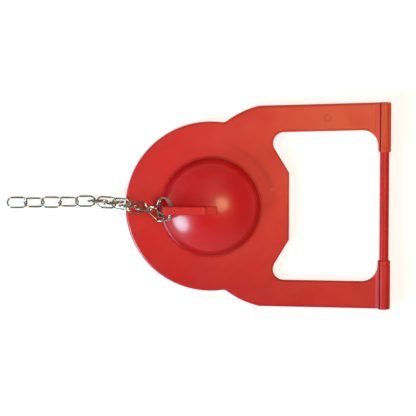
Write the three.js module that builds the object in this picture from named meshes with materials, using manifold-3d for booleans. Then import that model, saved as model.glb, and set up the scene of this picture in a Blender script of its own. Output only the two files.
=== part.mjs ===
// Toilet flapper for a two inch flush valve: a soft rubber moulding that swings on a hinge rod, with the
// split ring and the links of its lift chain. Millimetres, +Z up, lying on its sealing face with the
// chain laid out to the left (-X) and the hinge to the right (+X). The disc's axis is the working origin
// here, and the finished group is moved so that its origin is the bottom centre of the whole part.
import * as THREE from 'three';
import { mergeVertices } from 'three/addons/utils/BufferGeometryUtils.js';
import Module from 'manifold-3d';

const wasm = await Module();
wasm.setup();

// Sealing disc
const discRadius = 43;
const plateThickness = 3.6;
const edgeRound = 0.9;

// Dome over the disc, hollow and open below
const domeFootRadius = 25.2;
const domeShoulderRadius = 21.8;
const domeShoulderHeight = 5.4; // above the plate
const domeShoulderRound = 1.6;
const domeHeight = 13.9; // above the plate
const domeWall = 2.2;

// Lug on the dome that holds the split ring
const lugOverhang = 2.8; // of the lug's left end past the dome's shoulder
const lugSideHeight = 7.6; // of the upright left end, from the top down
const lugUndercut = 3; // from the left end to where the slanted underside meets the dome
const lugRootHeight = 5; // above the plate
const lugTopEnd = -3;
const lugFootEnd = 2.8;
const lugEndRound = 1; // of the corner between the top and the sloping right end, along the top
const lugEndDrop = 0.5; // the same corner, down the slope
const lugThickness = 4.2;
const lugDraft = 0.02; // growth of each side face for each millimetre down
const lugRiseOverDome = 3.1;
const lugCornerRadius = 2;
const lugBevel = 0.4;
const lugHoleRadius = 1.9;
const lugHoleInset = 4.6; // from the lug's left end
const lugHoleDrop = 3.5; // from the lug's top

// Frame: the shoulders beside the disc, the two arms and the opening between them
const shoulderRimAngle = 80.7; // degrees from +X, where the shoulder leaves the disc's rim
const shoulderControl = [15.3, 48.8];
const shoulderEnd = [24.5, 50.9];
const armOuterAtHinge = 52.5;
const armInnerStart = 37.4;
const armInnerAtHinge = 38.6;
const openingNear = 39.4; // straight edge of the opening next to the disc
const openingNearHalf = 17;
const openingCornerX = 27.1; // where the slanted edge would meet the arm's inner edge
const openingCornerRound = 5.6;
const openingFarRound = 7.9;

// Hinge: two blind sleeves of the moulding and the stiff rod in them
const hingeX = 87.4;
const sleeveRadius = 3.2;
const sleeveInnerEnd = 27.6;
const sleeveEndWall = 2.4;
const sleeveEdgeRound = 0.5;
const rodRadius = 2.35;
const rodClearance = 0.25;
const rodEndGap = 0.3;
const rodEndRound = 0.4;

// Split ring: two turns of round wire
const ringOuterDiameter = 12.6;
const ringWire = 0.95;
const ringTurnGap = 0.07;
const ringTilt = THREE.MathUtils.degToRad(55);
const ringCrossing = THREE.MathUtils.degToRad(16); // half the arc where the wire steps from turn to turn
const ringCrossingAt = THREE.MathUtils.degToRad(245);

// Chain links
const linkWire = 0.9;
const linkLength = 10.6;
const linkWidth = 6.3;

// How the slack links lie, from the ring outwards. Each row ends with the way the link runs (yaw from -X
// towards +Y, and pitch down) and its roll, in degrees.
// By the ring: distance out from its lower end, y, height above the plate.
const linksByRing = [
  [1.05, -3, 4.1, 46, -6.5, -41],
  [6.5, -0.6, 3.3, 5, 0, 90],
];
// Halfway between its neighbours: y, height above the plate.
const linkBetween = [0.3, 2.75, 3, 0, 0];
// At the disc's rim: distance in from it, y, height above the plate.
const linkAtRim = [1.8, 0.95, 3.3, 2, 0, 90];
// Past the rim: distance out from it, y, height above the table.
const linksPastRim = [
  [2.1, 1.5, 3.57, 2, 20, 0],
  [5.9, 2.1, 3.2, -6, 0, 90],
  [9.6, 2.3, 2.9, 2, 14, 0],
  [13.9, 3, 3.2, 0, 0, 90],
];

// The links drawn out on the table, leaning to one side and the other by turns
const drawnLinksStart = 20.2; // centre of the first one, out from the rim
const drawnLinksY = [2.8, 2.5, 2.3, 2.2, 2.2];
const drawnLinksYaw = [0, 1, 1, 0, 0];
const drawnLinksRoll = 30;
const linkPlay = 0.2; // that a link keeps to the next one when it is drawn out

// Fineness of the round surfaces
const discSteps = 70; // round the free part of the rim
const domeSegments = 64;
const roundSegments = 32;
const wireSides = 8;
const linkSegments = 22; // not a multiple of four, so that no ring of the torus lies where it is cut
const ringSteps = 60;
const arcSteps = 6;
const cutOverrun = 1; // how far outside the solid a cut starts

// Derived sizes
const domeTop = plateThickness + domeHeight;
const lugTop = domeTop + lugRiseOverDome;
const lugLeft = -domeShoulderRadius - lugOverhang;
const lugHole = new THREE.Vector2(lugLeft + lugHoleInset, lugTop - lugHoleDrop);
const boreRadius = rodRadius + rodClearance;
const sleeveOuterEnd = armOuterAtHinge;
const ringRadius = (ringOuterDiameter - ringWire) / 2;
const ringSlope = new THREE.Vector3(Math.cos(ringTilt), 0, Math.sin(ringTilt));
const ringTop = new THREE.Vector3(lugHole.x, 0, lugHole.y);
const ringBottom = ringTop.clone().addScaledVector(ringSlope, -2 * ringRadius);
const linkPitch = linkLength - 2 * linkWire - linkPlay;

const rubber = new THREE.MeshStandardMaterial({ color: 0xc8141c, roughness: 0.5, metalness: 0 });
const rodPlastic = new THREE.MeshStandardMaterial({ color: 0xb3101c, roughness: 0.28, metalness: 0 });
const ringSteel = new THREE.MeshStandardMaterial({ color: 0xb8b4a6, roughness: 0.25, metalness: 1 });
const chainSteel = new THREE.MeshStandardMaterial({ color: 0xc4c2bc, roughness: 0.22, metalness: 1 });

// A closed geometry as a solid that can be joined and cut.
function solidOf(geometry) {
  const bare = geometry.clone();
  bare.deleteAttribute('normal');
  bare.deleteAttribute('uv');
  const merged = mergeVertices(bare, 1e-4);
  return new wasm.Manifold(new wasm.Mesh({
    numProp: 3,
    vertProperties: merged.attributes.position.array,
    triVerts: new Uint32Array(merged.index.array),
  }));
}

function geometryOf(solid) {
  const mesh = solid.getMesh();
  const geometry = new THREE.BufferGeometry();
  geometry.setAttribute('position', new THREE.BufferAttribute(new Float32Array(mesh.vertProperties), 3));
  geometry.setIndex(new THREE.BufferAttribute(new Uint32Array(mesh.triVerts), 1));
  geometry.computeVertexNormals();
  return geometry;
}

function namedMesh(name, geometry, material) {
  const mesh = new THREE.Mesh(geometry, material);
  mesh.name = name;
  return mesh;
}

// Points of an arc about (cx, cy), for a profile; the angles are in degrees.
function arcPoints(cx, cy, radius, from, to, steps) {
  const points = [];
  for (let i = 0; i <= steps; i++) {
    const angle = THREE.MathUtils.degToRad(from + ((to - from) * i) / steps);
    points.push(new THREE.Vector2(cx + radius * Math.cos(angle), cy + radius * Math.sin(angle)));
  }
  return points;
}

// A solid of revolution about Z from profile points [radius, height] that run from the axis at the bottom
// outwards and back to the axis at the top.
function turned(points, segments) {
  return solidOf(new THREE.LatheGeometry(points, segments).rotateX(Math.PI / 2));
}

// The dome's outline from foot to apex, drawn in by the given inset: a steep wall, a rounded shoulder
// and a shallow cap.
function domeOutline(inset) {
  const foot = new THREE.Vector2(domeFootRadius - inset, plateThickness);
  const shoulderTop = plateThickness + domeShoulderHeight;
  const shoulder = new THREE.Vector2(domeShoulderRadius - inset, shoulderTop - inset / 2);
  const apex = domeTop - inset;
  const rise = apex - shoulder.y;
  const capRadius = (shoulder.x ** 2 + rise ** 2) / (2 * rise);
  const capCentre = apex - capRadius;
  const capAngle = Math.asin(shoulder.x / capRadius);
  const capStart = capAngle - domeShoulderRound / capRadius;
  const points = [foot];
  const wall = shoulder.clone().sub(foot).normalize();
  const below = shoulder.clone().addScaledVector(wall, -domeShoulderRound);
  const above = new THREE.Vector2(capRadius * Math.sin(capStart), capCentre + capRadius * Math.cos(capStart));
  points.push(...new THREE.QuadraticBezierCurve(below, shoulder, above).getPoints(4));
  for (let i = 1; i <= arcSteps; i++) {
    const angle = capStart * (1 - i / arcSteps);
    points.push(new THREE.Vector2(capRadius * Math.sin(angle), capCentre + capRadius * Math.cos(angle)));
  }
  return points;
}

function domeSolid() {
  const base = plateThickness / 2;
  return turned([
    new THREE.Vector2(0, base),
    new THREE.Vector2(domeFootRadius, base),
    ...domeOutline(0),
  ], domeSegments);
}

function domeHollow() {
  const mouth = domeFootRadius - domeWall;
  return turned([
    new THREE.Vector2(0, -cutOverrun),
    new THREE.Vector2(mouth, -cutOverrun),
    ...domeOutline(domeWall),
  ], domeSegments);
}

// The height of the dome's surface above a point this far from its axis.
function domeHeightAt(radius) {
  const rise = domeHeight - domeShoulderHeight;
  const capRadius = (domeShoulderRadius ** 2 + rise ** 2) / (2 * rise);
  return domeTop - capRadius + Math.sqrt(capRadius ** 2 - radius ** 2);
}

// The lug is a fin in the plane of symmetry, a little thicker towards its foot.
function lugSolid() {
  const inset = lugBevel;
  const left = lugLeft + inset;
  const top = lugTop - inset;
  const round = lugCornerRadius;
  const rootX = lugLeft + lugUndercut;
  const shape = new THREE.Shape();
  shape.moveTo(rootX, plateThickness / 2);
  shape.lineTo(lugFootEnd - inset, plateThickness / 2);
  shape.lineTo(lugFootEnd - inset, domeHeightAt(lugFootEnd) - inset / 2);
  shape.lineTo(lugTopEnd + inset, top - lugEndDrop);
  shape.quadraticCurveTo(lugTopEnd, top, lugTopEnd - lugEndRound, top);
  shape.lineTo(left + round, top);
  shape.absarc(left + round, top - round, round, Math.PI / 2, Math.PI, false);
  shape.lineTo(left, lugTop - lugSideHeight);
  shape.lineTo(rootX, plateThickness + lugRootHeight);
  shape.closePath();
  const hole = new THREE.Path();
  hole.absarc(lugHole.x, lugHole.y, lugHoleRadius + inset, 0, Math.PI * 2, true);
  shape.holes.push(hole);
  const geometry = new THREE.ExtrudeGeometry(shape, {
    depth: lugThickness - 2 * inset,
    bevelThickness: inset,
    bevelSize: inset,
    bevelSegments: 2,
    curveSegments: 8,
  });
  geometry.translate(0, 0, inset - lugThickness / 2);
  geometry.rotateX(Math.PI / 2);
  const position = geometry.attributes.position;
  for (let i = 0; i < position.count; i++) {
    const growth = 1 + (2 * lugDraft * (lugTop - position.getZ(i))) / lugThickness;
    position.setY(i, position.getY(i) * growth);
  }
  return solidOf(geometry);
}

// A corner of an outline, cut off by a curve that keeps to the two straight edges: the points where it
// leaves the first edge and joins the second.
function roundedCorner(before, at, after, radius) {
  const corner = new THREE.Vector2(...at);
  const a = new THREE.Vector2(...before).sub(corner).normalize();
  const b = new THREE.Vector2(...after).sub(corner).normalize();
  const half = Math.acos(a.dot(b)) / 2;
  const centre = a.clone().add(b).normalize().multiplyScalar(radius / Math.sin(half)).add(corner);
  const reach = radius / Math.tan(half);
  const start = corner.clone().addScaledVector(a, reach).sub(centre).angle();
  let turn = corner.clone().addScaledVector(b, reach).sub(centre).angle() - start;
  if (turn > Math.PI) turn -= 2 * Math.PI;
  if (turn < -Math.PI) turn += 2 * Math.PI;
  const points = [];
  for (let i = 0; i <= arcSteps; i++) {
    const angle = start + (turn * i) / arcSteps;
    points.push(new THREE.Vector2(Math.cos(angle), Math.sin(angle)).multiplyScalar(radius).add(centre));
  }
  return points;
}

// Half of the plate's outline, from the disc's rim round the arm to the straight edge of the opening.
function halfOutline() {
  const farEdge = hingeX - sleeveRadius;
  const farCorner = [farEdge, armInnerAtHinge];
  const nearCorner = [openingCornerX, armInnerStart];
  const nearEnd = [openingNear, openingNearHalf];
  const rimAngle = THREE.MathUtils.degToRad(shoulderRimAngle);
  const shoulder = new THREE.QuadraticBezierCurve(
    new THREE.Vector2(Math.cos(rimAngle), Math.sin(rimAngle)).multiplyScalar(discRadius),
    new THREE.Vector2(...shoulderControl),
    new THREE.Vector2(...shoulderEnd),
  );
  return [
    ...shoulder.getPoints(arcSteps),
    new THREE.Vector2(hingeX, armOuterAtHinge),
    new THREE.Vector2(hingeX, sleeveInnerEnd + edgeRound),
    new THREE.Vector2(farEdge, sleeveInnerEnd + edgeRound),
    ...roundedCorner([farEdge, 0], farCorner, nearCorner, openingFarRound),
    ...roundedCorner(farCorner, nearCorner, nearEnd, openingCornerRound),
    new THREE.Vector2(...nearEnd),
  ];
}

// The disc and the frame are one plate of even thickness with its edges rounded off.
function plateSolid() {
  const upper = halfOutline();
  const lower = upper.map((p) => new THREE.Vector2(p.x, -p.y)).reverse();
  const rim = arcPoints(0, 0, discRadius, 360 - shoulderRimAngle, shoulderRimAngle, discSteps).slice(1, -1);
  const shape = new THREE.Shape([...upper, ...lower, ...rim].reverse());
  const geometry = new THREE.ExtrudeGeometry(shape, {
    depth: plateThickness - 2 * edgeRound,
    bevelThickness: edgeRound,
    bevelSize: edgeRound,
    bevelOffset: -edgeRound,
    bevelSegments: 3,
  });
  geometry.translate(0, 0, edgeRound);
  return solidOf(geometry);
}

// A rod along Y, with its ends rounded off, from one y to another.
function rodAlongY(radius, from, to, round) {
  const length = to - from;
  const points = [
    new THREE.Vector2(0, 0),
    new THREE.Vector2(radius - round, 0),
    new THREE.Vector2(radius, round),
    new THREE.Vector2(radius, length - round),
    new THREE.Vector2(radius - round, length),
    new THREE.Vector2(0, length),
  ];
  return new THREE.LatheGeometry(points, roundSegments).translate(hingeX, from, sleeveRadius);
}

function sleeveSolid(side) {
  const ends = [side * sleeveInnerEnd, side * sleeveOuterEnd].sort((a, b) => a - b);
  return solidOf(rodAlongY(sleeveRadius, ends[0], ends[1], sleeveEdgeRound));
}

// The bore starts outside the sleeve's inner end and stops at its end wall.
function boreSolid(side) {
  const inner = sleeveInnerEnd - cutOverrun;
  const ends = [side * inner, side * (sleeveOuterEnd - sleeveEndWall)].sort((a, b) => a - b);
  return solidOf(rodAlongY(boreRadius, ends[0], ends[1], rodEndRound));
}

function flapperBody() {
  let body = plateSolid().add(domeSolid()).add(lugSolid());
  for (const side of [-1, 1]) {
    body = body.add(sleeveSolid(side));
  }
  for (const side of [-1, 1]) {
    body = body.subtract(boreSolid(side));
  }
  body = body.subtract(domeHollow());
  return namedMesh('flapper_body', geometryOf(body), rubber);
}

function hingeRod() {
  const end = sleeveOuterEnd - sleeveEndWall - rodEndGap;
  return namedMesh('hinge_rod', rodAlongY(rodRadius, -end, end, rodEndRound), rodPlastic);
}

// The wire's centre line: two turns, one on the other, that change places in one short crossing with the
// wire's two ends on either side of it.
class SplitRingCurve extends THREE.Curve {
  getPoint(t, target = new THREE.Vector3()) {
    const turn = 2 * Math.PI;
    const angle = ringCrossing + t * (2 * turn - 2 * ringCrossing);
    const step = THREE.MathUtils.smoothstep(angle, turn - ringCrossing, turn + ringCrossing);
    const level = (step - 0.5) * (ringWire + ringTurnGap);
    const round = angle + ringCrossingAt;
    return target.set(ringRadius * Math.cos(round), ringRadius * Math.sin(round), level);
  }
}

function wireSection(diameter) {
  const points = [];
  for (let i = 0; i < wireSides; i++) {
    const angle = ((i + 0.5) * 2 * Math.PI) / wireSides;
    points.push(new THREE.Vector2(Math.cos(angle), Math.sin(angle)).multiplyScalar(diameter / 2));
  }
  return new THREE.Shape(points);
}

// The ring goes through the lug's hole at its highest point and slopes down to the left from there.
function splitRing() {
  const geometry = new THREE.ExtrudeGeometry(wireSection(ringWire), {
    steps: ringSteps,
    extrudePath: new SplitRingCurve(),
  });
  const ring = namedMesh('split_ring', geometry, ringSteel);
  ring.rotation.y = -ringTilt;
  ring.position.copy(ringTop).add(ringBottom).divideScalar(2);
  return ring;
}

// One link: a torus drawn out along X into an oblong.
function linkGeometry() {
  const endRadius = (linkWidth - linkWire) / 2;
  const halfStraight = (linkLength - linkWidth) / 2;
  const geometry = new THREE.TorusGeometry(endRadius, linkWire / 2, wireSides, linkSegments);
  const position = geometry.attributes.position;
  for (let i = 0; i < position.count; i++) {
    const x = position.getX(i);
    position.setX(i, x + Math.sign(x) * halfStraight);
  }
  geometry.deleteAttribute('normal');
  geometry.deleteAttribute('uv');
  return mergeVertices(geometry, 1e-4);
}

function linkMatrix([x, y, z, yawDeg, pitchDeg, rollDeg]) {
  const [yaw, pitch, roll] = [yawDeg, pitchDeg, rollDeg].map(THREE.MathUtils.degToRad);
  const along = new THREE.Vector3(
    -Math.cos(yaw) * Math.cos(pitch),
    Math.sin(yaw) * Math.cos(pitch),
    -Math.sin(pitch),
  );
  const level = new THREE.Vector3(0, 0, 1).cross(along).normalize();
  const side = level.applyAxisAngle(along, roll);
  const normal = along.clone().cross(side);
  return new THREE.Matrix4().makeBasis(along, side, normal).setPosition(x, y, z);
}

// Where each link's centre is and how it is turned, in the order of the chain.
function linkPoses() {
  const rim = -discRadius;
  const placed = (x, [y, height, ...turn]) => [x, y, plateThickness + height, ...turn];
  const byRing = linksByRing.map(([out, ...rest]) => placed(ringBottom.x - out, rest));
  const [inwards, ...atRimRest] = linkAtRim;
  const atRim = placed(rim + inwards, atRimRest);
  const between = placed((byRing.at(-1)[0] + atRim[0]) / 2, linkBetween);
  const pastRim = linksPastRim.map(([out, y, height, ...turn]) => [rim - out, y, height, ...turn]);
  const lean = THREE.MathUtils.degToRad(drawnLinksRoll);
  const drawnHeight = (linkWire + (linkWidth - linkWire) * Math.sin(lean)) / 2;
  const drawn = drawnLinksY.map((y, i) => {
    const roll = i % 2 ? -drawnLinksRoll : drawnLinksRoll;
    return [rim - drawnLinksStart - i * linkPitch, y, drawnHeight, drawnLinksYaw[i], 0, roll];
  });
  return [...byRing, between, atRim, ...pastRim, ...drawn];
}

function chain() {
  const links = new THREE.Group();
  linkPoses().forEach((pose, i) => {
    const name = 'chain_link_' + String(i + 1).padStart(2, '0');
    const link = namedMesh(name, linkGeometry(), chainSteel);
    link.applyMatrix4(linkMatrix(pose));
    links.add(link);
  });
  return links;
}

const pieces = new THREE.Group();
pieces.add(flapperBody(), hingeRod(), splitRing(), chain());
pieces.updateMatrixWorld(true);
const box = new THREE.Box3().setFromObject(pieces, true);
const middle = box.getCenter(new THREE.Vector3());
pieces.position.set(-middle.x, -middle.y, -box.min.z);

const flapper = new THREE.Group();
flapper.add(pieces);
export default flapper;
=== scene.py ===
# The visible toilet flapper: a rubber moulding that swings on a hinge rod, with a split ring and a chain.
# Metres, +Z up, lying on its sealing face with the chain laid out to the left. Unless a note says
# otherwise, sizes are in millimetres, measured from the disc's axis, and angles are in degrees.
import math

import bpy
from mathutils import Matrix, Vector


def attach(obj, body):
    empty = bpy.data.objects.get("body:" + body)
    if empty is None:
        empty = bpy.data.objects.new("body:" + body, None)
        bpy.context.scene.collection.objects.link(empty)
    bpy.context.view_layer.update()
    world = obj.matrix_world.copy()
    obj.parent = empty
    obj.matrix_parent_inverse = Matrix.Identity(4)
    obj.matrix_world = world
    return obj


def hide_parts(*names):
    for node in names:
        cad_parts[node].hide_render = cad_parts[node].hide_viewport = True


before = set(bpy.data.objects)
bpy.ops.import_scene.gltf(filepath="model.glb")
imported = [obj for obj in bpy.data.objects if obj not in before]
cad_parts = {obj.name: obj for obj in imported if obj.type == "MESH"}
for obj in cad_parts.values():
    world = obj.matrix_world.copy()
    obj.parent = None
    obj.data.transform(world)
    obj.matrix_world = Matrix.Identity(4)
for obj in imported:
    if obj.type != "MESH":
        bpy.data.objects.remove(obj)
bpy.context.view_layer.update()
print("the packed model is loaded")

mm = 0.001
discAxis = 6.15  # where the disc's axis stands along X, from the part's origin
mergeDistance = 1e-6  # in metres, the corners of one shape that count as one
seamWidth = 3e-6  # in metres, the slivers that go when shapes have been joined
beyond = 1  # how far a cutter goes past the face that it cuts
lip = 0.1  # how far above the face a cutter has its full width
smoothAngle = 35  # edges sharper than this stay sharp on the moulding and the rod


# Small tools for shaping by hand

def deselectAll():
    bpy.ops.object.select_all(action="DESELECT")


def pick(piece):
    deselectAll()
    piece.select_set(True)
    bpy.context.view_layer.objects.active = piece


def applyPlace():
    bpy.ops.object.transform_apply(location=True, rotation=True, scale=True)


def point(x, y, z):
    return Vector(((x + discAxis) * mm, y * mm, z * mm))


def drawLine(name, points):
    # one vertex, pulled on from point to point
    deselectAll()
    bpy.ops.mesh.primitive_plane_add(size=mm, location=points[0])
    piece = bpy.context.object
    piece.name = name
    bpy.ops.object.mode_set(mode="EDIT")
    bpy.ops.mesh.select_all(action="SELECT")
    bpy.ops.mesh.merge(type="CENTER")
    for here, there in zip(points, points[1:]):
        bpy.ops.mesh.extrude_region_move(TRANSFORM_OT_translate={"value": there - here})
    return piece


def selectWhere(piece, wanted):
    # leaves the active piece in edit mode, with only the wanted corners selected
    bpy.ops.object.mode_set(mode="EDIT")
    bpy.ops.mesh.select_all(action="DESELECT")
    bpy.ops.object.mode_set(mode="OBJECT")
    for vertex in piece.data.vertices:
        vertex.select = wanted(vertex.co)
    bpy.ops.object.mode_set(mode="EDIT")


def closeShape(piece):
    bpy.ops.mesh.select_all(action="SELECT")
    bpy.ops.mesh.remove_doubles(threshold=mergeDistance)
    bpy.ops.mesh.normals_make_consistent(inside=False)
    bpy.ops.object.mode_set(mode="OBJECT")
    applyPlace()
    return piece


def turned(name, profile, steps, alongHinge=False):
    # profile: pairs of distance from the axis and place along it
    if alongHinge:
        points = [point(hinge["x"] + out, along, hinge["height"]) for out, along in profile]
        centre, axis = point(hinge["x"], 0, hinge["height"]), (0, 1, 0)
    else:
        points = [point(out, 0, along) for out, along in profile]
        centre, axis = point(0, 0, 0), (0, 0, 1)
    piece = drawLine(name, points)
    bpy.ops.mesh.select_all(action="SELECT")
    bpy.ops.mesh.spin(steps=steps, angle=2 * math.pi, center=centre, axis=axis)
    return closeShape(piece)


def prism(name, outline, reach):
    piece = drawLine(name, outline + outline[:1])
    bpy.ops.mesh.select_all(action="SELECT")
    bpy.ops.mesh.remove_doubles(threshold=mergeDistance)
    bpy.ops.mesh.edge_face_add()
    bpy.ops.mesh.select_all(action="SELECT")
    bpy.ops.mesh.extrude_region_move(TRANSFORM_OT_translate={"value": reach})
    return closeShape(piece)


def cylinder(radius, length, place, sides, turn=(0, 0, 0)):
    deselectAll()
    bpy.ops.mesh.primitive_cylinder_add(
        vertices=sides, radius=radius * mm, depth=length * mm, location=place, rotation=turn)
    applyPlace()
    return bpy.context.object


def roundEdges(piece, width, segments, sharperThan):
    pick(piece)
    bpy.ops.object.modifier_add(type="BEVEL")
    bevel = piece.modifiers[-1]
    bevel.width = width * mm
    bevel.segments = segments
    bevel.limit_method = "ANGLE"
    bevel.angle_limit = math.radians(sharperThan)
    bevel.use_clamp_overlap = False
    bpy.ops.object.modifier_apply(modifier=bevel.name)


def combine(piece, other, operation):
    pick(piece)
    bpy.ops.object.modifier_add(type="BOOLEAN")
    change = piece.modifiers[-1]
    change.operation = operation
    change.solver = "MANIFOLD"
    change.object = other
    bpy.ops.object.modifier_apply(modifier=change.name)
    bpy.data.objects.remove(other)


def cleanSeams(piece):
    # takes out the slivers where joined shapes met
    pick(piece)
    bpy.ops.object.mode_set(mode="EDIT")
    bpy.ops.mesh.select_all(action="SELECT")
    bpy.ops.mesh.remove_doubles(threshold=seamWidth)
    bpy.ops.mesh.dissolve_degenerate(threshold=seamWidth)
    bpy.ops.object.mode_set(mode="OBJECT")


def smoothShade(piece, angle):
    pick(piece)
    bpy.ops.object.shade_smooth_by_angle(angle=math.radians(angle))
    bpy.ops.object.modifier_add(type="WEIGHTED_NORMAL")
    weighted = piece.modifiers[-1]
    weighted.keep_sharp = True
    bpy.ops.object.modifier_apply(modifier=weighted.name)


def fit(piece, body, slot, *nodes):
    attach(piece, body)
    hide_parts(*nodes)


# Outline helpers, in millimetres

def arc(centre, radius, start, stop, steps):
    angles = [math.radians(start + (stop - start) * i / steps) for i in range(steps + 1)]
    return [(centre[0] + radius * math.cos(a), centre[1] + radius * math.sin(a)) for a in angles]


def bend(start, control, stop, steps):
    # a quadratic curve from start to stop that heads for the control point
    a, b, c = Vector(start), Vector(control), Vector(stop)
    shares = [i / steps for i in range(steps + 1)]
    return [tuple(a * (1 - t) ** 2 + b * 2 * t * (1 - t) + c * t * t) for t in shares]


def roundedCorner(before, corner, after, radius, steps):
    at = Vector(corner)
    a = (Vector(before) - at).normalized()
    b = (Vector(after) - at).normalized()
    half = a.angle(b) / 2
    centre = at + (a + b).normalized() * radius / math.sin(half)
    first = at + a * radius / math.tan(half) - centre
    last = at + b * radius / math.tan(half) - centre
    turn = first.angle_signed(last)
    heading = math.atan2(first.y, first.x)
    angles = [heading - turn * i / steps for i in range(steps + 1)]
    return [(centre.x + radius * math.cos(v), centre.y + radius * math.sin(v)) for v in angles]


# Small tools for materials. A value is a number, a colour or another node's output.

def setOrLink(tree, value, socket):
    if isinstance(value, (int, float, tuple)):
        socket.default_value = value
    else:
        tree.links.new(value, socket)


def addNode(tree, kind, **values):
    node = tree.nodes.new("ShaderNode" + kind)
    for name, value in values.items():
        setattr(node, name, value)
    return node


def addMath(tree, operation, *values, clamp=False):
    node = addNode(tree, "Math", operation=operation, use_clamp=clamp)
    for value, socket in zip(values, node.inputs):
        setOrLink(tree, value, socket)
    return node.outputs[0]


def addProduct(tree, first, *others):
    for value in others:
        first = addMath(tree, "MULTIPLY", first, value)
    return first


def addSum(tree, first, *others):
    # kept between 0 and 1
    for value in others:
        first = addMath(tree, "ADD", first, value, clamp=True)
    return first


def addOffset(tree, value, place):
    # how far the value is from the place, on either side
    return addMath(tree, "ABSOLUTE", addMath(tree, "SUBTRACT", value, place))


def addNoise(tree, vector, scale, detail=3, roughness=0.5):
    node = addNode(tree, "TexNoise")
    tree.links.new(vector, node.inputs["Vector"])
    setOrLink(tree, scale, node.inputs["Scale"])
    node.inputs["Detail"].default_value = detail
    node.inputs["Roughness"].default_value = roughness
    return node.outputs["Fac"]


def addRange(tree, value, low, high, newLow=0, newHigh=1):
    node = addNode(tree, "MapRange", interpolation_type="SMOOTHSTEP")
    tree.links.new(value, node.inputs["Value"])
    for label, number in (("From Min", low), ("From Max", high), ("To Min", newLow), ("To Max", newHigh)):
        node.inputs[label].default_value = number
    return node.outputs["Result"]


def addStretch(tree, vector, sizes, turn=0):
    # coordinates that run from 0 to 1 over the sizes in metres, turned about Z
    node = addNode(tree, "Mapping", vector_type="TEXTURE")
    tree.links.new(vector, node.inputs["Vector"])
    node.inputs["Scale"].default_value = sizes
    node.inputs["Rotation"].default_value = (0, 0, turn)
    return node.outputs["Vector"]


def addMix(tree, factor, first, second):
    node = addNode(tree, "Mix", data_type="RGBA")
    for value, socket in zip((factor, first, second), (node.inputs[0], node.inputs[6], node.inputs[7])):
        setOrLink(tree, value, socket)
    return node.outputs[2]


def addGroup(tree, group, values):
    node = addNode(tree, "Group", node_tree=group)
    for label, value in values.items():
        node.inputs[label].default_value = value
    return node


def addBump(tree, shader, height, distance, strength, under=None):
    bump = addNode(tree, "Bump")
    bump.inputs["Strength"].default_value = strength
    bump.inputs["Distance"].default_value = distance
    tree.links.new(height, bump.inputs["Height"])
    if under is not None:
        tree.links.new(under, bump.inputs["Normal"])
    tree.links.new(bump.outputs["Normal"], shader.inputs["Normal"])
    return bump.outputs["Normal"]


def addRoughness(tree, shader, look, clouds, marks, *others):
    # the clouds lead from the look's lowest roughness to its highest, and scratches add to it
    low, high = look["roughness"]
    base = addRange(tree, clouds, 0, 1, low, high)
    scratches = addProduct(tree, marks.outputs["Scratches"], look["scratchRoughness"])
    tree.links.new(addSum(tree, base, *others, scratches), shader.inputs["Roughness"])


def newMaterial(name):
    material = bpy.data.materials.new(name)
    material.use_nodes = True
    return material, material.node_tree, material.node_tree.nodes["Principled BSDF"]


def newGroup(name, inputs, outputs):
    group = bpy.data.node_groups.new(name, "ShaderNodeTree")
    for label, value in inputs.items():
        socket = group.interface.new_socket(label, in_out="INPUT", socket_type="NodeSocketFloat")
        socket.default_value = value
    for label in outputs:
        group.interface.new_socket(label, in_out="OUTPUT", socket_type="NodeSocketFloat")
    return group, group.nodes.new("NodeGroupInput"), group.nodes.new("NodeGroupOutput")


# Node groups that the materials share. They put out only values.

skinNoise = {
    "grain": (4, 0.6),  # detail and roughness
    "clouds": (4, 0.55),
    "cloudHeight": 0.6,  # how much the clouds lift the surface, next to the grain
    "cloudRange": (0.32, 0.68),
    "flowSize": (0.02, 0.008, 0.009),  # in metres
    "flowTurn": 0.5,  # in radians
    "flowDetail": 2,
    "flowRange": (0.4, 0.7),
}


def mouldedSkinGroup():
    # moulded rubber or plastic: fine grain, soft clouds of colour and gloss, and faint flow lines
    group, given, made = newGroup(
        "mouldedSkin", {"Grain": 2600, "Clouds": 45}, ("Height", "Clouds", "Flow"))
    objectAt = addNode(group, "TexCoord").outputs["Object"]
    grain = addNoise(group, objectAt, given.outputs["Grain"], *skinNoise["grain"])
    clouds = addNoise(group, objectAt, given.outputs["Clouds"], *skinNoise["clouds"])
    flowAt = addStretch(group, objectAt, skinNoise["flowSize"], skinNoise["flowTurn"])
    flow = addNoise(group, flowAt, 1, skinNoise["flowDetail"])
    height = addMath(group, "ADD", grain, addProduct(group, clouds, skinNoise["cloudHeight"]))
    group.links.new(height, made.inputs["Height"])
    group.links.new(addRange(group, clouds, *skinNoise["cloudRange"]), made.inputs["Clouds"])
    group.links.new(addRange(group, flow, *skinNoise["flowRange"]), made.inputs["Flow"])
    return group


handling = {
    "speckScale": 420,  # specks in a metre, times the group's Size
    "speckRange": (0.12, 0.05),
    "patchNoise": (70, 2),  # specks gather in patches
    "patchRange": (0.5, 0.62),
    "scratchTurns": (0.4, 1.5, 2.5),  # one layer of scratches for each direction, in radians
    "scratchSize": (0.0004, 0.022, 0.022),  # in metres
    "scratchRange": (0.7, 0.78),
    "scratchPatchSize": (0.015, 0.015, 0.015),  # in metres
    "scratchPatchRange": (0.5, 0.6),
}


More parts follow.
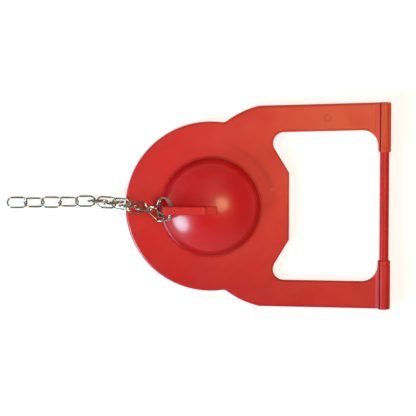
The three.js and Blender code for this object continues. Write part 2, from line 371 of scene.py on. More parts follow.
def handlingGroup():
    # dust specks and thin scratches from handling
    group, given, made = newGroup("handlingMarks", {"Size": 1}, ("Specks", "Scratches"))
    objectAt = addNode(group, "TexCoord").outputs["Object"]
    voronoi = addNode(group, "TexVoronoi", feature="F1")
    group.links.new(objectAt, voronoi.inputs["Vector"])
    speckScale = addProduct(group, given.outputs["Size"], handling["speckScale"])
    group.links.new(speckScale, voronoi.inputs["Scale"])
    specks = addRange(group, voronoi.outputs["Distance"], *handling["speckRange"])
    patches = addRange(group, addNoise(group, objectAt, *handling["patchNoise"]), *handling["patchRange"])
    layers = []
    for turn in handling["scratchTurns"]:
        lineAt = addStretch(group, objectAt, handling["scratchSize"], turn)
        line = addRange(group, addNoise(group, lineAt, 1, 1), *handling["scratchRange"])
        patchAt = addStretch(group, objectAt, handling["scratchPatchSize"], turn)
        patch = addRange(group, addNoise(group, patchAt, 1, 1), *handling["scratchPatchRange"])
        layers.append(addProduct(group, line, patch))
    scratches = layers[0]
    for layer in layers[1:]:
        scratches = addMath(group, "MAXIMUM", scratches, layer)
    group.links.new(addProduct(group, specks, patches), made.inputs["Specks"])
    group.links.new(scratches, made.inputs["Scratches"])
    return group


mouldedSkin = mouldedSkinGroup()
handlingMarks = handlingGroup()


# The hinge, which the moulding, the rod and the rubber's look share

hinge = {
    "x": 87.4,
    "height": 3.2,
    "sleeveRadius": 3.2,
    "sleeveInnerEnd": 27.6,
    "sleeveOuterEnd": 52.5,
    "endWall": 2.4,
    "sleeveRound": 0.5,
    "creaseX": 85.1,  # the line along the sleeve where the arm's skin runs up on it
    "creaseWidth": 0.6,
    "creaseDepth": 0.55,
    "creaseInset": 1,  # from the sleeve's inner end
    "rampStart": 82.2,
    "rampTurns": 1.6,  # how far before the crease the arm's top turns up
    "rampMeets": 0.3,  # how far before the crease it reaches the sleeve
    "rampPast": 0.2,  # how far past the crease it goes on
    "rampSink": 0.02,
    "rampSteps": 8,
    "rampEdge": (0.3, 3, 50),  # rounding, its segments, and the angle from which an edge gets it
    "collarWidth": 1.9,
    "collarGroove": 0.22,
    "boreRadius": 2.6,
    "boreMouth": 0.25,
    "boreEndBevel": 0.4,
    "rodRadius": 2.35,
    "rodEndGap": 0.3,
    "rodRound": 0.4,
    "roundSteps": 5,
    "steps": 72,
}

# the round marks that the mould's ejector pins leave
pins = {
    "marks": ((58.7, 44.8, 1.75, 0.3), (45.5, -47, 0.6, 0.2)),  # x, y, radius and depth
    "sides": 40,
    "edgeRound": 0.15,
    "edgeSegments": 2,
    "edgeAngle": 40,
}

rubber = {
    "red": (0.65, 0.009, 0.009, 1),
    "deepRed": (0.51, 0.004, 0.007, 1),  # in the clouds, the rubber's own uneven tone, and towards the lower sleeve as painted shade
    "cloudShare": 0.4,
    "lowerShare": 0.75,
    "paintedSheenRed": (0.63, 0.055, 0.020, 1),  # painted warm sheen, stronger towards the upper sleeve
    "domeRed": (0.57, 0.005, 0.008, 1),
    "paintedShadeRed": (0.20, 0.003, 0.004, 1),  # painted shade, in corners, creases and round the pin marks
    # painted shade on the dome's steep wall
    "wallShade": 0.48,
    "ringShade": 0.22,
    "creaseShade": 0.9,
    "ringRadius": 32.2,  # the faint ring of painted shade round the dome
    "pinNoise": (700, 2),
    "pinShade": (0.4, 0.62, 0.08, 0.42),  # the noise's range and the painted shade that it turns into round the pin marks
    "bloom": (0.80, 0.20, 0.17, 1),  # the paler skin of a rubbed or dusty spot
    "flowBloom": 0.035,
    "speckBloom": 0.25,
    "scuffBloom": 0.5,
    "scuff": (30.7, 8.6),  # x and y of the rubbed spot
    "scuffNoise": (1500, 3),
    "scuffRange": (0.42, 0.62),
    "skin": {"Grain": 2400, "Clouds": 60},
    "marks": {"Size": 1},
    "roughness": (0.36, 0.50),
    "scratchRoughness": 0.06,
    "domeRoughness": -0.07,  # added on the dome
    "specular": 0.32,
    "domeCoat": 0.5,
    "rimCoat": 0.8,
    "coatRoughness": 0.2,
    "grainBump": (0.00003, 0.5),  # height in metres, and strength
    "scratchBump": (0.00001, -0.3),
}

# where each part of the rubber's look sets in, and where it is complete
rubberZones = {
    "domeEdge": (25.6, 25.1),  # from the disc's axis
    "domeWall": (22.4, 24.9),
    "rim": (41.5, 42.3),
    "aboveUnderside": (2, 3),  # along Z
    "aboveFoot": (3.2, 3.8),
    "aboveArm": (4.4, 4.8),
    "belowLug": (19, 17.7),
    "rimAcross": (14, 0),  # along X
    "ringAcross": (4, 19),
    "sheenAcross": (-25, 95),
    "ringUpward": (0, 12),  # along Y
    "sheenUpward": (-75, 60),
    "deepDownward": (0, -46),
    "seatRing": (2.2, 0),  # from a line or a spot
    "crease": (0.4, 0.15),
    "pinMark": (0.45, 0.1),
    "scuff": (1.4, 0.3),
}


def distanceFrom(tree, objectAt, x, y):
    # in metres, from the upright line through x and y
    away = addNode(tree, "VectorMath", operation="SUBTRACT")
    level = addNode(tree, "VectorMath", operation="MULTIPLY")
    length = addNode(tree, "VectorMath", operation="LENGTH")
    tree.links.new(objectAt, away.inputs[0])
    tree.links.new(away.outputs["Vector"], level.inputs[0])
    tree.links.new(level.outputs["Vector"], length.inputs[0])
    away.inputs[1].default_value = point(x, y, 0)
    level.inputs[1].default_value = (1, 1, 0)
    return length.outputs["Value"]


def inZone(tree, value, name, origin=0):
    start, stop = rubberZones[name]
    return addRange(tree, value, (start + origin) * mm, (stop + origin) * mm)


def paintedRubberShade(tree, objectAt, radius, split):
    # painted shade at the dome's foot, in the seat's faint ring, in the sleeves' creases and round the pin
    # marks
    across, upward, height = split.outputs
    # painted shade on the dome's steep wall, at its foot
    wall = addProduct(tree, inZone(tree, radius, "domeWall"), inZone(tree, radius, "domeEdge"),
                      rubber["wallShade"])
    # painted shade in a faint ring where the seat's recess has its edge
    offRing = addOffset(tree, radius, rubber["ringRadius"] * mm)
    ringShare = addProduct(tree, inZone(tree, offRing, "seatRing"), rubber["ringShade"],
                           inZone(tree, across, "ringAcross", discAxis), inZone(tree, upward, "ringUpward"))
    # painted shade along the crease where the arm's skin runs up on the sleeve
    offCrease = addOffset(tree, across, point(hinge["creaseX"], 0, 0).x)
    crease = addProduct(tree, inZone(tree, offCrease, "crease"), inZone(tree, height, "aboveArm"),
                        rubber["creaseShade"])
    shade = addSum(tree, wall, ringShare, crease)
    # painted shade round the pin marks' rims, broken up by noise
    markShadeNoise = addRange(tree, addNoise(tree, objectAt, *rubber["pinNoise"]), *rubber["pinShade"])
    for x, y, markRadius, _ in pins["marks"]:
        offMark = addOffset(tree, distanceFrom(tree, objectAt, x, y), markRadius * mm)
        markShade = addProduct(tree, inZone(tree, offMark, "pinMark"), markShadeNoise)
        shade = addMath(tree, "MAXIMUM", shade, markShade)
    return addProduct(tree, shade, inZone(tree, height, "aboveUnderside"))


def rubberMaterial():
    material, tree, shader = newMaterial("mouldedRubber")
    objectAt = addNode(tree, "TexCoord").outputs["Object"]
    skin = addGroup(tree, mouldedSkin, rubber["skin"])
    marks = addGroup(tree, handlingMarks, rubber["marks"])
    split = addNode(tree, "SeparateXYZ")
    tree.links.new(objectAt, split.inputs[0])
    across, upward, height = split.outputs
    radius = distanceFrom(tree, objectAt, 0, 0)
    onDome = addProduct(tree, inZone(tree, radius, "domeEdge"), inZone(tree, height, "aboveFoot"),
                        inZone(tree, height, "belowLug"))
    onRim = addProduct(tree, inZone(tree, radius, "rim"), inZone(tree, across, "rimAcross", discAxis))

    # painted shade, darker towards the lower sleeve
    lower = addProduct(tree, inZone(tree, upward, "deepDownward"), rubber["lowerShare"])
    deep = addSum(tree, addProduct(tree, skin.outputs["Clouds"], rubber["cloudShare"]), lower)
    # painted warm sheen, as from a lamp, growing towards the upper sleeve
    paintedSheen = addProduct(tree, inZone(tree, across, "sheenAcross", discAxis),
                       inZone(tree, upward, "sheenUpward"))
    scuffNoise = addRange(tree, addNoise(tree, objectAt, *rubber["scuffNoise"]), *rubber["scuffRange"])
    scuff = inZone(tree, distanceFrom(tree, objectAt, *rubber["scuff"]), "scuff")
    pale = addSum(tree, addProduct(tree, skin.outputs["Flow"], rubber["flowBloom"]),
                  addProduct(tree, marks.outputs["Specks"], rubber["speckBloom"]),
                  addProduct(tree, scuff, scuffNoise, rubber["scuffBloom"]))
    tone = addMix(tree, deep, rubber["red"], rubber["deepRed"])
    tone = addMix(tree, paintedSheen, tone, rubber["paintedSheenRed"])
    tone = addMix(tree, onDome, tone, rubber["domeRed"])
    # painted shade darkens the dome's wall, the seat's ring, the creases and the pin marks' rims
    tone = addMix(tree, paintedRubberShade(tree, objectAt, radius, split), tone, rubber["paintedShadeRed"])
    tone = addMix(tree, pale, tone, rubber["bloom"])
    tree.links.new(tone, shader.inputs["Base Color"])

    coat = addSum(tree, addProduct(tree, onDome, rubber["domeCoat"]),
                  addProduct(tree, onRim, rubber["rimCoat"]))
    tree.links.new(coat, shader.inputs["Coat Weight"])
    shader.inputs["Coat Roughness"].default_value = rubber["coatRoughness"]
    shader.inputs["Specular IOR Level"].default_value = rubber["specular"]
    onDomeRoughness = addProduct(tree, onDome, rubber["domeRoughness"])
    addRoughness(tree, shader, rubber, skin.outputs["Clouds"], marks, onDomeRoughness)
    grain = addBump(tree, shader, skin.outputs["Height"], *rubber["grainBump"])
    addBump(tree, shader, marks.outputs["Scratches"], *rubber["scratchBump"], under=grain)
    return material


rodLook = {
    "red": (0.60, 0.018, 0.018, 1),
    "cloudRed": (0.50, 0.010, 0.012, 1),
    "skin": {"Grain": 900, "Clouds": 90},
    "marks": {"Size": 1.6},
    "roughness": (0.22, 0.34),
    "scratchRoughness": 0.02,
    "specular": 0.26,
    "bump": (0.00003, 0.35),  # height in metres, and strength
}


def rodMaterial():
    material, tree, shader = newMaterial("glossyRod")
    skin = addGroup(tree, mouldedSkin, rodLook["skin"])
    marks = addGroup(tree, handlingMarks, rodLook["marks"])
    tone = addMix(tree, skin.outputs["Clouds"], rodLook["red"], rodLook["cloudRed"])
    tree.links.new(tone, shader.inputs["Base Color"])
    shader.inputs["Specular IOR Level"].default_value = rodLook["specular"]
    addRoughness(tree, shader, rodLook, skin.outputs["Clouds"], marks)
    addBump(tree, shader, skin.outputs["Height"], *rodLook["bump"])
    return material


steel = {
    "bright": (0.90, 0.77, 0.64, 1),
    "tarnish": (0.16, 0.11, 0.05, 1),
    "chainTarnish": 0.42,
    "ringTarnish": 0.6,
    "blotchNoise": (520, 4, 0.6),
    "blotchRange": (0.42, 0.66),
    "driftNoise": (90, 2),
    "driftRange": (0.35, 0.65),
    "marks": {"Size": 2.5},
    "roughness": (0.12, 0.30),
    "scratchRoughness": 0.25,
    "fineNoise": (1800, 3),
    "bump": (0.00003, 0.3),  # height in metres, and strength
}


def steelMaterial(name, tarnishShare):
    material, tree, shader = newMaterial(name)
    objectAt = addNode(tree, "TexCoord").outputs["Object"]
    marks = addGroup(tree, handlingMarks, steel["marks"])
    blotches = addRange(tree, addNoise(tree, objectAt, *steel["blotchNoise"]), *steel["blotchRange"])
    drift = addRange(tree, addNoise(tree, objectAt, *steel["driftNoise"]), *steel["driftRange"])
    both = addMath(tree, "ADD", blotches, drift)
    tarnish = addMath(tree, "MULTIPLY", both, tarnishShare, clamp=True)
    tree.links.new(addMix(tree, tarnish, steel["bright"], steel["tarnish"]), shader.inputs["Base Color"])
    shader.inputs["Metallic"].default_value = 1
    addRoughness(tree, shader, steel, blotches, marks)
    addBump(tree, shader, addNoise(tree, objectAt, *steel["fineNoise"]), *steel["bump"])
    return material


rubberSkin = rubberMaterial()
rodSkin = rodMaterial()
chainSkin = steelMaterial("chainSteel", steel["chainTarnish"])
ringSkin = steelMaterial("ringSteel", steel["ringTarnish"])
print("materials made")

# The moulding

plate = {
    "discRadius": 43,
    "thickness": 3.6,
    "edgeRound": 1.3,
    "edgeSegments": 6,
    "edgeAngle": 40,
    "rimAngle": 80.7,  # where the shoulder leaves the disc's rim
    "rimSteps": 170,
    "cornerSteps": 14,
    "shoulderControl": (15.3, 48.8),
    "shoulderEnd": (24.5, 50.9),
    "armInnerStart": 37.4,
    "armInnerAtHinge": 38.6,
    "openingNear": 39.4,
    "openingNearHalf": 17,
    "openingCorner": 27.1,
    "openingCut": 15,  # height of the shape that cuts it
    "nearCornerRound": 5.6,
    "farCornerRound": 7.9,
    "sleeveOverlap": 0.06,  # how far the opening's far edge is drawn into the sleeves
    "recessRadius": 32,  # the seat's faint inner step
    "recessDepth": 0.14,
    "recessSlope": 0.3,
    "recessLift": 0.001,  # keeps the cutter's corner off the plate's face
    "lineRadius": 40.3,  # faint groove where the web meets the disc
    "lineDepth": 0.16,
    "lineWidth": 1.5,
    "lineTilt": 4,
    "lineAngle": 48,
}

dome = {
    "footRadius": 24.7,
    "footFlare": 0.5,
    "footSink": 0.1,
    "footSteps": 6,
    "shoulderRadius": 22.1,
    "shoulderHeight": 5.4,
    "shoulderRound": 2.4,
    "shoulderSteps": 8,
    "height": 13.9,
    "capSteps": 22,
    "wall": 2.2,
    "mouthBevel": 0.5,
    "groove": (25.6, 0.8, 0.35),  # radius, width and depth of the line round the foot
    "steps": 192,
}

lug = {
    "left": -24.6,
    "sideHeight": 7.6,
    "rootX": -21.6,
    "rootHeight": 5,
    "topEnd": -3,
    "footEnd": 2.8,
    "thickness": 4.2,
    "rise": 3.1,
    "cornerRound": 2,
    "cornerSteps": 10,
    "edge": (0.45, 4, 35),  # rounding, its segments, and the angle from which an edge gets it
    "endRound": 1.1,
    "endLean": 0.5,
    "endSteps": 6,
    "holeRadius": 1.9,
    "holeInset": 4.6,
    "holeDrop": 3.5,
    "holeSides": 48,
    "footStep": 0.45,
    "topLine": (-5.7, 0.22, 0.15),  # a faint line across the top: place, half width and depth
}


def openingEdge():
    # the upper half of the frame's opening, from the end of the arm to the disc
    farEdge = hinge["x"] - hinge["sleeveRadius"] + plate["sleeveOverlap"]
    farCorner = (farEdge, plate["armInnerAtHinge"])
    nearCorner = (plate["openingCorner"], plate["armInnerStart"])
    nearEnd = (plate["openingNear"], plate["openingNearHalf"])
    steps = plate["cornerSteps"]
    return [
        (farEdge, hinge["sleeveInnerEnd"] + plate["edgeRound"]),
        *roundedCorner((farEdge, 0), farCorner, nearCorner, plate["farCornerRound"], steps),
        *roundedCorner(farCorner, nearCorner, nearEnd, plate["nearCornerRound"], steps),
        nearEnd,
    ]


def openingShape():
    # the opening of the frame, tall enough to cut anything on the plate
    edge = openingEdge()
    outline = edge + [(x, -y) for x, y in reversed(edge)]
    return prism("opening", [point(x, y, -beyond) for x, y in outline], (0, 0, plate["openingCut"] * mm))


def plateShape():
    leave = math.radians(plate["rimAngle"])
    shoulderStart = (plate["discRadius"] * math.cos(leave), plate["discRadius"] * math.sin(leave))
    opening = openingEdge()
    upper = [
        *bend(shoulderStart, plate["shoulderControl"], plate["shoulderEnd"], plate["cornerSteps"]),
        (hinge["x"], hinge["sleeveOuterEnd"]),
        (hinge["x"], opening[0][1]),
        *opening,
    ]
    lower = [(x, -y) for x, y in reversed(upper)]
    rim = arc((0, 0), plate["discRadius"], -plate["rimAngle"], plate["rimAngle"] - 360, plate["rimSteps"])
    outline = [point(x, y, 0) for x, y in upper + lower + rim[1:-1]]
    piece = prism("flapperMoulding", outline, (0, 0, plate["thickness"] * mm))
    roundEdges(piece, plate["edgeRound"], plate["edgeSegments"], plate["edgeAngle"])
    return piece


def capRadiusFor(reach, rise):
    # the radius of a round cap that rises so much within its reach
    return (reach ** 2 + rise ** 2) / (2 * rise)


def domeOutline(inset):
    # from foot to apex: a steep wall, a rounded shoulder and a shallow cap
    top = plate["thickness"] + dome["height"] - inset
    foot = Vector((dome["footRadius"] - inset, plate["thickness"]))
    shoulderTop = plate["thickness"] + dome["shoulderHeight"] - inset / 2
    shoulder = Vector((dome["shoulderRadius"] - inset, shoulderTop))
    capRadius = capRadiusFor(shoulder.x, top - shoulder.y)
    capStart = math.asin(shoulder.x / capRadius) - dome["shoulderRound"] / capRadius
    below = shoulder + (foot - shoulder).normalized() * dome["shoulderRound"]
    above = (capRadius * math.sin(capStart), top - capRadius + capRadius * math.cos(capStart))
    steps = dome["capSteps"]
    cap = [capStart * (1 - i / steps) for i in range(1, steps + 1)]
    crown = [(capRadius * math.sin(a), top - capRadius + capRadius * math.cos(a)) for a in cap]
    return foot, bend(below, shoulder, above, dome["shoulderSteps"]) + crown


def domeShape():
    base = plate["thickness"] / 2
    flare = dome["footFlare"]
    foot, upper = domeOutline(0)
    wallPoint = foot + (Vector(upper[0]) - foot).normalized() * flare
    spread = bend((foot.x + flare, foot.y - dome["footSink"]), foot, wallPoint, dome["footSteps"])
    return turned("dome", [(0, base), (foot.x + flare, base), *spread, *upper], dome["steps"])


def domeHollow():
    foot, upper = domeOutline(dome["wall"])
    bevel = dome["mouthBevel"]
    mouth = foot.x + bevel
    profile = [(0, -beyond), (mouth, -beyond), (mouth, 0), (foot.x, bevel), *upper]
    return turned("hollow", profile, dome["steps"])


def grooveRing(radius, width, depth):
    # a sharp-bottomed ring that cuts a line into the plate's top
    top = plate["thickness"]
    half = width / 2
    profile = [(radius, top - depth), (radius + half, top), (radius + half, top + beyond),
               (radius - half, top + beyond), (radius - half, top), (radius, top - depth)]
    return turned("groove", profile, dome["steps"])


def seatRecess():
    top = plate["thickness"]
    low = top - plate["recessDepth"]
    inner = plate["recessRadius"] - plate["recessSlope"]
    outer = plate["recessRadius"] + plate["recessSlope"]
    profile = [(0, low), (inner, low), (outer, top + plate["recessLift"]), (outer, top + beyond),
               (0, top + beyond)]
    return turned("recess", profile, dome["steps"])


def webLine(side):
    # the ring is tipped, so that its line comes and goes gently
    cutter = grooveRing(plate["lineRadius"], plate["lineWidth"], plate["lineDepth"])
    angle = math.radians(plate["lineAngle"] * side)
    tilt = math.radians(plate["lineTilt"])
    across = Vector((-math.sin(angle), math.cos(angle), 0))
    lift = Vector((0, 0, plate["lineRadius"] * math.sin(tilt) * mm))
    pivot = point(0, 0, plate["thickness"])
    tip = Matrix.Rotation(tilt, 4, across)
    cutter.matrix_world = Matrix.Translation(pivot + lift) @ tip @ Matrix.Translation(-pivot)
    pick(cutter)
    applyPlace()
    return cutter


def pinMark(x, y, radius, depth):
    # the cylinder's bottom is the mark's floor
    place = point(x, y, plate["thickness"] - depth + beyond)
    mark = cylinder(radius, 2 * beyond, place, pins["sides"])
    roundEdges(mark, min(pins["edgeRound"], depth), pins["edgeSegments"], pins["edgeAngle"])
    return mark


def lugTop():
    return plate["thickness"] + dome["height"] + lug["rise"]


def lugHole():
    return point(lug["left"] + lug["holeInset"], 0, lugTop() - lug["holeDrop"])


def lugShape():
    top = lugTop()
    half = lug["thickness"] / 2
    capRadius = capRadiusFor(dome["shoulderRadius"], dome["height"] - dome["shoulderHeight"])
    domeTop = plate["thickness"] + dome["height"]
    footZ = domeTop - capRadius + math.sqrt(capRadius ** 2 - lug["footEnd"] ** 2)
    left, topEnd = lug["left"], lug["topEnd"]
    cornerRound, endRound = lug["cornerRound"], lug["endRound"]
    outline = [
        (lug["rootX"], plate["thickness"] / 2),
        (lug["footEnd"], plate["thickness"] / 2),
        (lug["footEnd"], footZ + lug["footStep"]),
        *bend((topEnd + lug["endLean"], top - endRound), (topEnd, top), (topEnd - endRound, top),
              lug["endSteps"]),
        *arc((left + cornerRound, top - cornerRound), cornerRound, 90, 180, lug["cornerSteps"]),
        (left, top - lug["sideHeight"]),
        (lug["rootX"], plate["thickness"] + lug["rootHeight"]),
    ]
    piece = prism("lug", [point(x, -half, z) for x, z in outline], (0, lug["thickness"] * mm, 0))
    hole = cylinder(
        lug["holeRadius"], 3 * lug["thickness"], lugHole(), lug["holeSides"], turn=(math.pi / 2, 0, 0))
    combine(piece, hole, "DIFFERENCE")
    roundEdges(piece, *lug["edge"])
    lineX, lineHalf, lineDepth = lug["topLine"]
    notch = [(lineX, top - lineDepth), (lineX + lineHalf, top + lip), (lineX - lineHalf, top + lip)]
    notchStart = [point(x, -half - beyond, z) for x, z in notch]
    combine(piece, prism("notch", notchStart, (0, (2 * half + 2 * beyond) * mm, 0)), "DIFFERENCE")
    return piece


def alongSleeve(name, profile, side):
    # profile: pairs of distance from the hinge's axis and place along it, on the given side
    return turned(name, [(out, side * along) for out, along in profile], hinge["steps"], alongHinge=True)


def sleeveShape(side):
    low, high, radius = hinge["sleeveInnerEnd"], hinge["sleeveOuterEnd"], hinge["sleeveRadius"]
    rounding, steps = hinge["sleeveRound"], hinge["roundSteps"]
    groove = hinge["collarGroove"]
    collar = low + hinge["collarWidth"]
    profile = [
        (0, low),
        *arc((radius - rounding, low + rounding), rounding, -90, 0, steps),
        (radius, collar),
        (radius - groove, collar + groove),
        (radius - groove, collar + 2 * groove),
        (radius, collar + 3 * groove),
        *arc((radius - rounding, high - rounding), rounding, 0, 90, steps),
        (0, high),
    ]
    return alongSleeve("sleeve", profile, side)


def boreShape(side):
    low, high = hinge["sleeveInnerEnd"], hinge["sleeveOuterEnd"] - hinge["endWall"]
    radius, mouth, bevel = hinge["boreRadius"], hinge["boreMouth"], hinge["boreEndBevel"]
    profile = [(0, low - beyond), (radius + mouth, low - beyond), (radius + mouth, low),
               (radius, low + mouth), (radius, high - bevel), (radius - bevel, high), (0, high)]
    return alongSleeve("bore", profile, side)


def sleeveTop(x):
    return hinge["height"] + math.sqrt(hinge["sleeveRadius"] ** 2 - (hinge["x"] - x) ** 2)


def rampShape(side):
    # the arm's top runs up on the sleeve
    low, high, margin = hinge["sleeveInnerEnd"], hinge["sleeveOuterEnd"], hinge["sleeveRound"]
    start, crease, sink, top = hinge["rampStart"], hinge["creaseX"], hinge["rampSink"], plate["thickness"]
    peak = crease + hinge["rampPast"]
    meets = crease - hinge["rampMeets"]
    profile = [
        (peak, top / 2),
        (start, top / 2),
        *bend((start, top - sink), (crease - hinge["rampTurns"], top), (meets, sleeveTop(meets)),
              hinge["rampSteps"]),
        (peak, sleeveTop(peak) - sink),
    ]
    outline = [point(x, side * (low + margin), z) for x, z in profile]
    piece = prism("ramp", outline, (0, side * (high - low - 2 * margin) * mm, 0))
    combine(piece, openingShape(), "DIFFERENCE")
    roundEdges(piece, *hinge["rampEdge"])
    return piece


def creaseShape(side):
    low, high = hinge["sleeveInnerEnd"], hinge["sleeveOuterEnd"]
    middle, half = hinge["creaseX"], hinge["creaseWidth"] / 2
    top = sleeveTop(middle)
    profile = [(middle, top - hinge["creaseDepth"]), (middle + half, top + lip),
               (middle + half, top + beyond), (middle - half, top + beyond), (middle - half, top + lip)]
    outline = [point(x, side * (low + hinge["creaseInset"]), z) for x, z in profile]
    return prism("crease", outline, (0, side * (high - low) * mm, 0))


def mouldingPiece():
    piece = plateShape()
    combine(piece, seatRecess(), "DIFFERENCE")
    combine(piece, grooveRing(*dome["groove"]), "DIFFERENCE")
    for side in (1, -1):
        combine(piece, webLine(side), "DIFFERENCE")
    for mark in pins["marks"]:
        combine(piece, pinMark(*mark), "DIFFERENCE")
    combine(piece, domeShape(), "UNION")
    combine(piece, lugShape(), "UNION")
    for side in (1, -1):
        combine(piece, rampShape(side), "UNION")
        combine(piece, sleeveShape(side), "UNION")
        combine(piece, creaseShape(side), "DIFFERENCE")
    for side in (1, -1):
        combine(piece, boreShape(side), "DIFFERENCE")
    combine(piece, domeHollow(), "DIFFERENCE")
    cleanSeams(piece)
    smoothShade(piece, smoothAngle)
    piece.data.materials.clear()
    piece.data.materials.append(rubberSkin)
    fit(piece, "moulding", "moulded_rubber", "flapper_body")


mouldingPiece()
print("moulding made")


# The hinge rod

def rodPiece():
    end = hinge["sleeveOuterEnd"] - hinge["endWall"] - hinge["rodEndGap"]
    radius, rounding, steps = hinge["rodRadius"], hinge["rodRound"], hinge["roundSteps"]
    profile = [
        (0, -end),
        *arc((radius - rounding, rounding - end), rounding, -90, 0, steps),
        *arc((radius - rounding, end - rounding), rounding, 0, 90, steps),
        (0, end),
    ]
    piece = turned("hingeRod", profile, hinge["steps"], alongHinge=True)
    smoothShade(piece, smoothAngle)
    piece.data.materials.append(rodSkin)
    fit(piece, "rod", "rod_plastic", "hinge_rod")


rodPiece()
print("hinge rod made")

# The split ring

ring = {
    "outerDiameter": 12.6,
    "wire": 0.95,
    "turnGap": 0.07,
    "tilt": 55,
    "crossing": 16,  # half the stretch in which the wire steps from one turn to the next
    "crossingAt": 245,
    "steps": 150,
    "sides": 4,
    "endEdge": (0.08, 2, 60),  # rounding, its segments, and the angle from which an edge gets it
    "smoothAngle": 40,
}


def wirePiece(name, points, thickness, sides):
    # a line turned into a round wire with closed ends
    drawLine(name, points)
    bpy.ops.object.mode_set(mode="OBJECT")
    applyPlace()
    bpy.ops.object.convert(target="CURVE")
    wire = bpy.context.object
    wire.data.bevel_depth = thickness / 2 * mm
    wire.data.bevel_resolution = sides
    wire.data.use_fill_caps = True
    bpy.ops.object.convert(target="MESH")
    piece = bpy.context.object
    bpy.ops.object.mode_set(mode="EDIT")
    return closeShape(piece)


def ringPiece():
    radius = (ring["outerDiameter"] - ring["wire"]) / 2
    tilt, crossing, crossingAt = (math.radians(ring[k]) for k in ("tilt", "crossing", "crossingAt"))
    slope = Vector((math.cos(tilt), 0, math.sin(tilt)))
    lift = Vector((-math.sin(tilt), 0, math.cos(tilt)))
    centre = lugHole() - slope * radius * mm
    points = []
    for i in range(ring["steps"] + 1):
        angle = crossing + i / ring["steps"] * (4 * math.pi - 2 * crossing)
        share = min(max((angle - 2 * math.pi + crossing) / (2 * crossing), 0), 1)
        level = (share * share * (3 - 2 * share) - 0.5) * (ring["wire"] + ring["turnGap"])
        x, y = radius * math.cos(angle + crossingAt), radius * math.sin(angle + crossingAt)
        points.append(centre + slope * x * mm + Vector((0, y * mm, 0)) + lift * level * mm)
    piece = wirePiece("splitRing", points, ring["wire"], ring["sides"])
    roundEdges(piece, *ring["endEdge"])
    smoothShade(piece, ring["smoothAngle"])
    piece.data.materials.append(ringSkin)
    fit(piece, "ring", "ring_steel", "split_ring")


ringPiece()
print("split ring made")

# The chain

link = {
    "wire": 0.88,
    "length": 10.6,
    "width": 6.3,
    "weldSwell": 1.05,
    "weldCuts": (-0.75, -0.45, -0.15, 0.15, 0.45, 0.75),  # along X, where the weld gets its own rings
    "weldSteps": ((0.5, 0.5), (0.2, 1)),  # reach along X and share of the swelling
    "segments": 46,
    "sides": 16,
    "smoothAngle": 50,
}

# centre x, y, z of each link, then yaw from -X towards +Y, pitch down and roll
linkPoses = [
    (-27.73, -3, 7.7, 46, -6.5, -41),
    (-33.18, -0.6, 6.9, 5, 0, 90),
    (-37.19, 0.3, 6.35, 3, 0, 0),
    (-41.2, 0.95, 6.9, 2, 0, 90),
    (-45.1, 1.5, 3.57, 2, 20, 0),
    (-48.9, 2.1, 3.2, -6, 0, 90),
    (-52.6, 2.3, 2.9, 2, 14, 0),
    (-56.9, 3, 3.2, 0, 0, 90),
    (-63.2, 2.8, 1.8, 0, 0, 30),
    (-71.8, 2.5, 1.8, 1, 0, -30),
    (-80.4, 2.3, 1.8, 1, 0, 30),
    (-89, 2.2, 1.8, 0, 0, -30),
    (-97.6, 2.2, 1.8, 0, 0, 30),
]


def linkModel():
    # a ring of wire pulled out into an oblong, with the swelling of its weld on one side
    endRadius = (link["width"] - link["wire"]) / 2
    straight = (link["length"] - link["width"]) / 2
    deselectAll()
    bpy.ops.mesh.primitive_torus_add(
        major_segments=link["segments"], minor_segments=link["sides"],
        major_radius=endRadius * mm, minor_radius=link["wire"] / 2 * mm)
    piece = bpy.context.object
    for side in (1, -1):
        selectWhere(piece, lambda at: at.x * side > 0)
        bpy.ops.transform.translate(value=(side * straight * mm, 0, 0))
    for x in link["weldCuts"]:
        bpy.ops.mesh.select_all(action="SELECT")
        bpy.ops.mesh.bisect(plane_co=(x * mm, 0, 0), plane_no=(1, 0, 0))
    for reach, swell in link["weldSteps"]:
        factor = 1 + (link["weldSwell"] - 1) * swell
        selectWhere(piece, lambda at: abs(at.x) < reach * mm and at.y > 0)
        bpy.ops.transform.resize(value=(1, factor, factor), center_override=(0, endRadius * mm, 0))
    return closeShape(piece)


def linkMatrix(x, y, z, *turns):
    yaw, pitch, roll = (math.radians(v) for v in turns)
    along = Vector((-math.cos(yaw) * math.cos(pitch), math.sin(yaw) * math.cos(pitch), -math.sin(pitch)))
    side = Vector((0, 0, 1)).cross(along).normalized()
    side.rotate(Matrix.Rotation(roll, 3, along))
    rows = Matrix((along, side, along.cross(side))).transposed()
    return Matrix.Translation(point(x, y, z)) @ rows.to_4x4()


def chainPieces():
    model = linkModel()
    smoothShade(model, link["smoothAngle"])
    model.data.materials.append(chainSkin)
    for number, pose in enumerate(linkPoses, 1):
        piece = model.copy()
        piece.data = model.data.copy()
        piece.name = f"chainLink{number:02d}"
        bpy.context.collection.objects.link(piece)
        piece.matrix_world = linkMatrix(*pose)
        if pose[-1] < 0:
            # the weld stays on the upper side
            piece.matrix_world @= Matrix.Rotation(math.pi, 4, "Z")
        pick(piece)
        applyPlace()
        fit(piece, f"link_{number:02d}", "chain_steel", f"chain_link_{number:02d}")
    bpy.data.objects.remove(model)


chainPieces()
print("chain made")

# The floor, the light and the camera

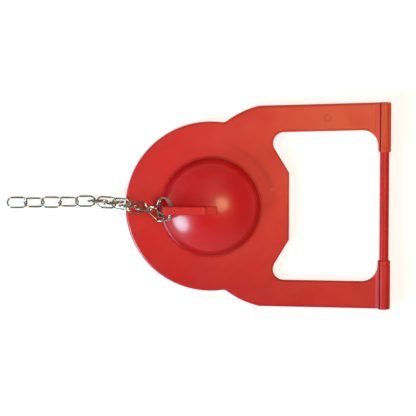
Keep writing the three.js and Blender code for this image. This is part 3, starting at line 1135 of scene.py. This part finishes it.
studio = {
    "floor": (0.93, 0.93, 0.93, 1),
    "floorMirrored": (0.58, 0.58, 0.58, 1),  # as the object's gloss sees it
    "floorRoughness": 0.9,
    "floorGlow": 0.55,  # share of plain white that the camera sees in the floor
    "glowStrength": 1.16,
    "floorSize": 6000,
    "floorDrop": 0.2,  # keeps it clear of the sealing face
    "wallLight": (0.38, 0.42, 0.48, 1),  # the walls on the window's side
    "wallShade": (0.22, 0.19, 0.17, 1),  # the walls across from it
    "wallRange": (-0.9, 0.7),  # from the light walls to the shaded ones
    "ceiling": (0.13, 0.12, 0.11, 1),
    "ceilingRange": (0.15, 0.95),  # from the walls up to the ceiling
    "lampTarget": (0, 0, 5),
    "lamps": (
        # name, direction, distance and size in metres, watts, colour, and whether reflections show it
        ("window", (-0.765, -0.473, 0.436), 0.7, 0.33, 5.2, (0.43, 0.85, 1.0), True),
        ("lamp", (0.336, 0.05, 0.939), 0.5, 0.21, 0.95, (1.0, 0.80, 0.36), True),
        ("fill", (0.10, 0.36, 0.93), 0.8, 0.8, 2.5, (1.0, 0.97, 0.97), False),
    ),
}

shot = {
    "target": (-1.5, -0.7, 3),
    "distance": 1.6,  # in metres
    "lean": (-1, 7.7),  # away from straight above, towards +X and +Y
    "frameWidth": 209.6,
    "sensorWidth": 36,
    "clipStart": 10,
}


def floorMaterial():
    material, tree, shader = newMaterial("paleFloor")
    shader.inputs["Roughness"].default_value = studio["floorRoughness"]
    shader.inputs["Specular IOR Level"].default_value = 0
    glow = addNode(tree, "Emission")
    glow.inputs["Strength"].default_value = studio["glowStrength"]
    path = addNode(tree, "LightPath")
    tone = addMix(tree, path.outputs["Is Glossy Ray"], studio["floor"], studio["floorMirrored"])
    tree.links.new(tone, shader.inputs["Base Color"])
    share = addProduct(tree, path.outputs["Is Camera Ray"], studio["floorGlow"])
    mix = addNode(tree, "MixShader")
    for value, socket in zip((share, shader.outputs[0], glow.outputs[0]), mix.inputs):
        tree.links.new(value, socket)
    tree.links.new(mix.outputs[0], tree.nodes["Material Output"].inputs["Surface"])
    return material


def addFloor():
    place = (0, 0, -studio["floorDrop"] * mm)
    deselectAll()
    bpy.ops.mesh.primitive_plane_add(size=studio["floorSize"] * mm, location=place)
    floor = bpy.context.object
    floor.name = "floor"
    floor.data.materials.append(floorMaterial())


def addWorld():
    world = bpy.data.worlds.new("studio")
    bpy.context.scene.world = world
    world.use_nodes = True
    tree = world.node_tree
    split = addNode(tree, "SeparateXYZ")
    tree.links.new(addNode(tree, "TexCoord").outputs["Generated"], split.inputs[0])
    height = addRange(tree, split.outputs["Z"], *studio["ceilingRange"])
    diagonal = addMath(tree, "ADD", split.outputs["X"], split.outputs["Y"])
    across = addRange(tree, diagonal, *studio["wallRange"])
    walls = addMix(tree, across, studio["wallLight"], studio["wallShade"])
    tree.links.new(addMix(tree, height, walls, studio["ceiling"]), tree.nodes["Background"].inputs["Color"])


def addLamps():
    for name, direction, distance, size, watts, colour, mirrored in studio["lamps"]:
        towards = Vector(direction).normalized()
        place = point(*studio["lampTarget"]) + towards * distance
        bpy.ops.object.light_add(type="AREA", location=place)
        lamp = bpy.context.object
        lamp.name = name
        lamp.rotation_euler = towards.to_track_quat("Z", "Y").to_euler()
        lamp.data.shape = "DISK"
        lamp.data.size = size
        lamp.data.energy = watts
        lamp.data.color = colour
        lamp.visible_glossy = mirrored


def addCamera():
    leanX, leanY = (math.sin(math.radians(v)) for v in shot["lean"])
    back = Vector((leanX, leanY, math.sqrt(1 - leanX ** 2 - leanY ** 2)))
    right = Vector((0, 1, 0)).cross(back).normalized()
    bpy.ops.object.camera_add(location=point(*shot["target"]) + back * shot["distance"])
    camera = bpy.context.object
    camera.rotation_euler = Matrix((right, back.cross(right), back)).transposed().to_euler()
    camera.data.sensor_width = shot["sensorWidth"]
    camera.data.lens = shot["sensorWidth"] * shot["distance"] / (shot["frameWidth"] * mm)
    camera.data.clip_start = shot["clipStart"] * mm
    bpy.context.scene.camera = camera


addFloor()
addWorld()
addLamps()
addCamera()
bpy.context.scene.view_settings.view_transform = "Standard"
print("studio made")
